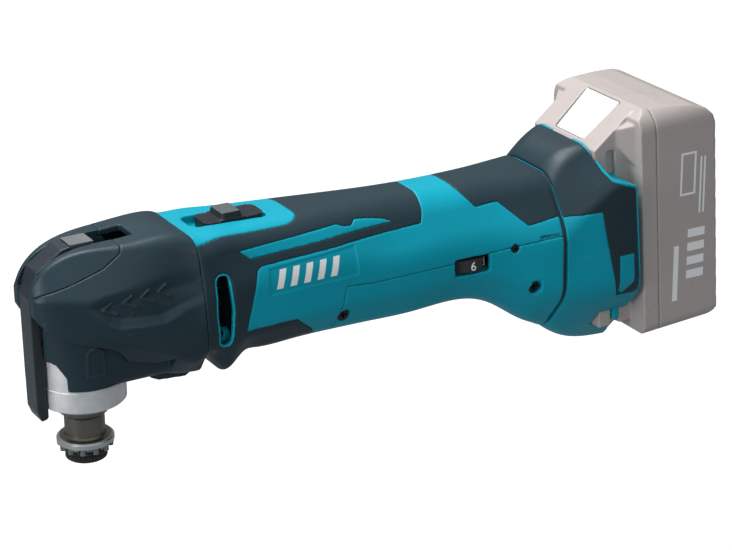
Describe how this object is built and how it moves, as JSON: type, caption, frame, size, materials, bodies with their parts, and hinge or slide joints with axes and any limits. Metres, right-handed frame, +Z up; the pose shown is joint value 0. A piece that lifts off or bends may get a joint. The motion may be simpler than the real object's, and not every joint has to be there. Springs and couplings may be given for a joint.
{
  "type": "cordless oscillating multi-tool",
  "caption": "Handheld cordless oscillating multi-tool with a tool-less clamp lever, slide switch, speed wheel and slide-on battery.",
  "frame": {"origin": "middle of the accessory seat, on the underside of the spindle flange", "axes": "+X back along the body towards the battery, +Z up along the spindle axis, accessories mount from below; the tool is near enough symmetric about Y=0"},
  "size_m": [0.3506, 0.08, 0.1254],
  "materials": {
    "housing_teal": "fine moulded texture",
    "soft_grip": "soft matt overmould",
    "black_plastic": "satin",
    "cast_aluminium": "fine cast, lightly machined",
    "light_metal": "satin",
    "spindle_steel": "machined",
    "dark_steel": "black oxide",
    "bright_steel": "ground",
    "screw_steel": "black oxide",
    "copper": "copper, plain",
    "carbon": "matt grey",
    "seal_rubber": "matt",
    "led_clear": "clear",
    "circuit_board": "lacquered board",
    "pack_plastic": "pale taupe-grey, satin",
    "pack_button": "white",
    "cell_wrap": "shrink sleeve"
  },
  "bodies": {
    "housing": {"battery_holder": "housing_teal", "brush_caps": "copper", "carbon_brushes": "carbon", "cover_screws": "screw_steel", "dial_board": "circuit_board", "end_bell": "black_plastic", "fan_baffle": "black_plastic", "front_grip": "soft_grip", "gear_housing": "cast_aluminium", "head_cover": "soft_grip", "head_screws": "screw_steel", "head_skirt": "black_plastic", "holder_grip": "soft_grip", "holder_screws": "screw_steel", "joint_gasket": "soft_grip", "led_board": "circuit_board", "led_lens": "led_clear", "lever_bracket": "black_plastic", "lever_pin": "dark_steel", "lower_cover": "housing_teal", "magnets": "carbon", "motor_bearing_front": "bright_steel", "motor_bearing_rear": "bright_steel", "motor_can": "dark_steel", "power_leads": "seal_rubber", "rear_grip": "soft_grip", "seam_screws": "screw_steel", "speed_controller": "black_plastic", "spindle_bearing_lower": "bright_steel", "spindle_bearing_upper": "bright_steel", "spindle_seal": "seal_rubber", "switch_unit": "black_plastic", "terminal_blades": "copper", "terminal_block": "black_plastic", "upper_housing": "housing_teal"},
    "lever": {"lever": "black_plastic", "lever_cam": "light_metal"},
    "spindle": {"spindle": "spindle_steel", "spindle_bush": "spindle_steel", "clamp_jaws": "spindle_steel", "clamp_spring": "bright_steel", "swing_fork": "spindle_steel"},
    "clamp_sleeve": {"clamp_sleeve": "spindle_steel"},
    "holder_bolt": {"holder_bolt": "dark_steel"},
    "rotor": {"rotor_shaft": "bright_steel", "eccentric_bearing": "bright_steel", "balance_weight": "dark_steel", "fan": "black_plastic", "armature": "bright_steel", "windings": "copper", "commutator": "copper"},
    "switch": {"switch_slider": "black_plastic", "switch_link": "black_plastic"},
    "speed_dial": {"speed_dial": "black_plastic"},
    "battery": {"pack_rear_case": "pack_plastic", "pack_front_case": "pack_plastic", "pack_cells": "cell_wrap", "pack_board": "circuit_board", "pack_contacts": "copper"},
    "battery_button": {"pack_button": "pack_button"}
  },
  "joints": [
    {"name": "lever_hinge", "type": "hinge", "parent": "housing", "child": "lever", "pos_m": [0.002, 0, 0.086], "axis": [0, 1, 0], "range_deg": [0, 110]},
    {"name": "spindle_swing", "type": "hinge", "parent": "housing", "child": "spindle", "pos_m": [0, 0, 0.03], "axis": [0, 0, 1], "range_deg": [-1.6, 1.6]},
    {"name": "clamp_slide", "type": "slide", "parent": "spindle", "child": "clamp_sleeve", "axis": [0, 0, -1], "range_m": [0, 0.0027], "deforming": ["clamp_spring"]},
    {"name": "bolt_slide", "type": "slide", "parent": "spindle", "child": "holder_bolt", "axis": [0, 0, -1], "range_m": [0, 0.06]},
    {"name": "rotor_spin", "type": "hinge", "parent": "housing", "child": "rotor", "pos_m": [0.1, 0, 0.063], "axis": [1, 0, 0], "continuous": true},
    {"name": "switch_slide", "type": "slide", "parent": "housing", "child": "switch", "axis": [-1, 0, 0], "range_m": [0, 0.005]},
    {"name": "dial_turn", "type": "hinge", "parent": "housing", "child": "speed_dial", "pos_m": [0.1875, -0.0193, 0.056], "axis": [0, 0, 1], "range_deg": [-250, 0]},
    {"name": "battery_slide", "type": "slide", "parent": "housing", "child": "battery", "axis": [-0.0576, 0, 0.9983], "range_m": [0, 0.075]},
    {"name": "button_press", "type": "slide", "parent": "battery", "child": "battery_button", "axis": [0.6428, 0, -0.766], "range_m": [0, 0.004]}
  ],
  "couplings": [
    {"joint": "clamp_slide", "follows": "lever_hinge", "m_per_rad": 0.00138}
  ]
}
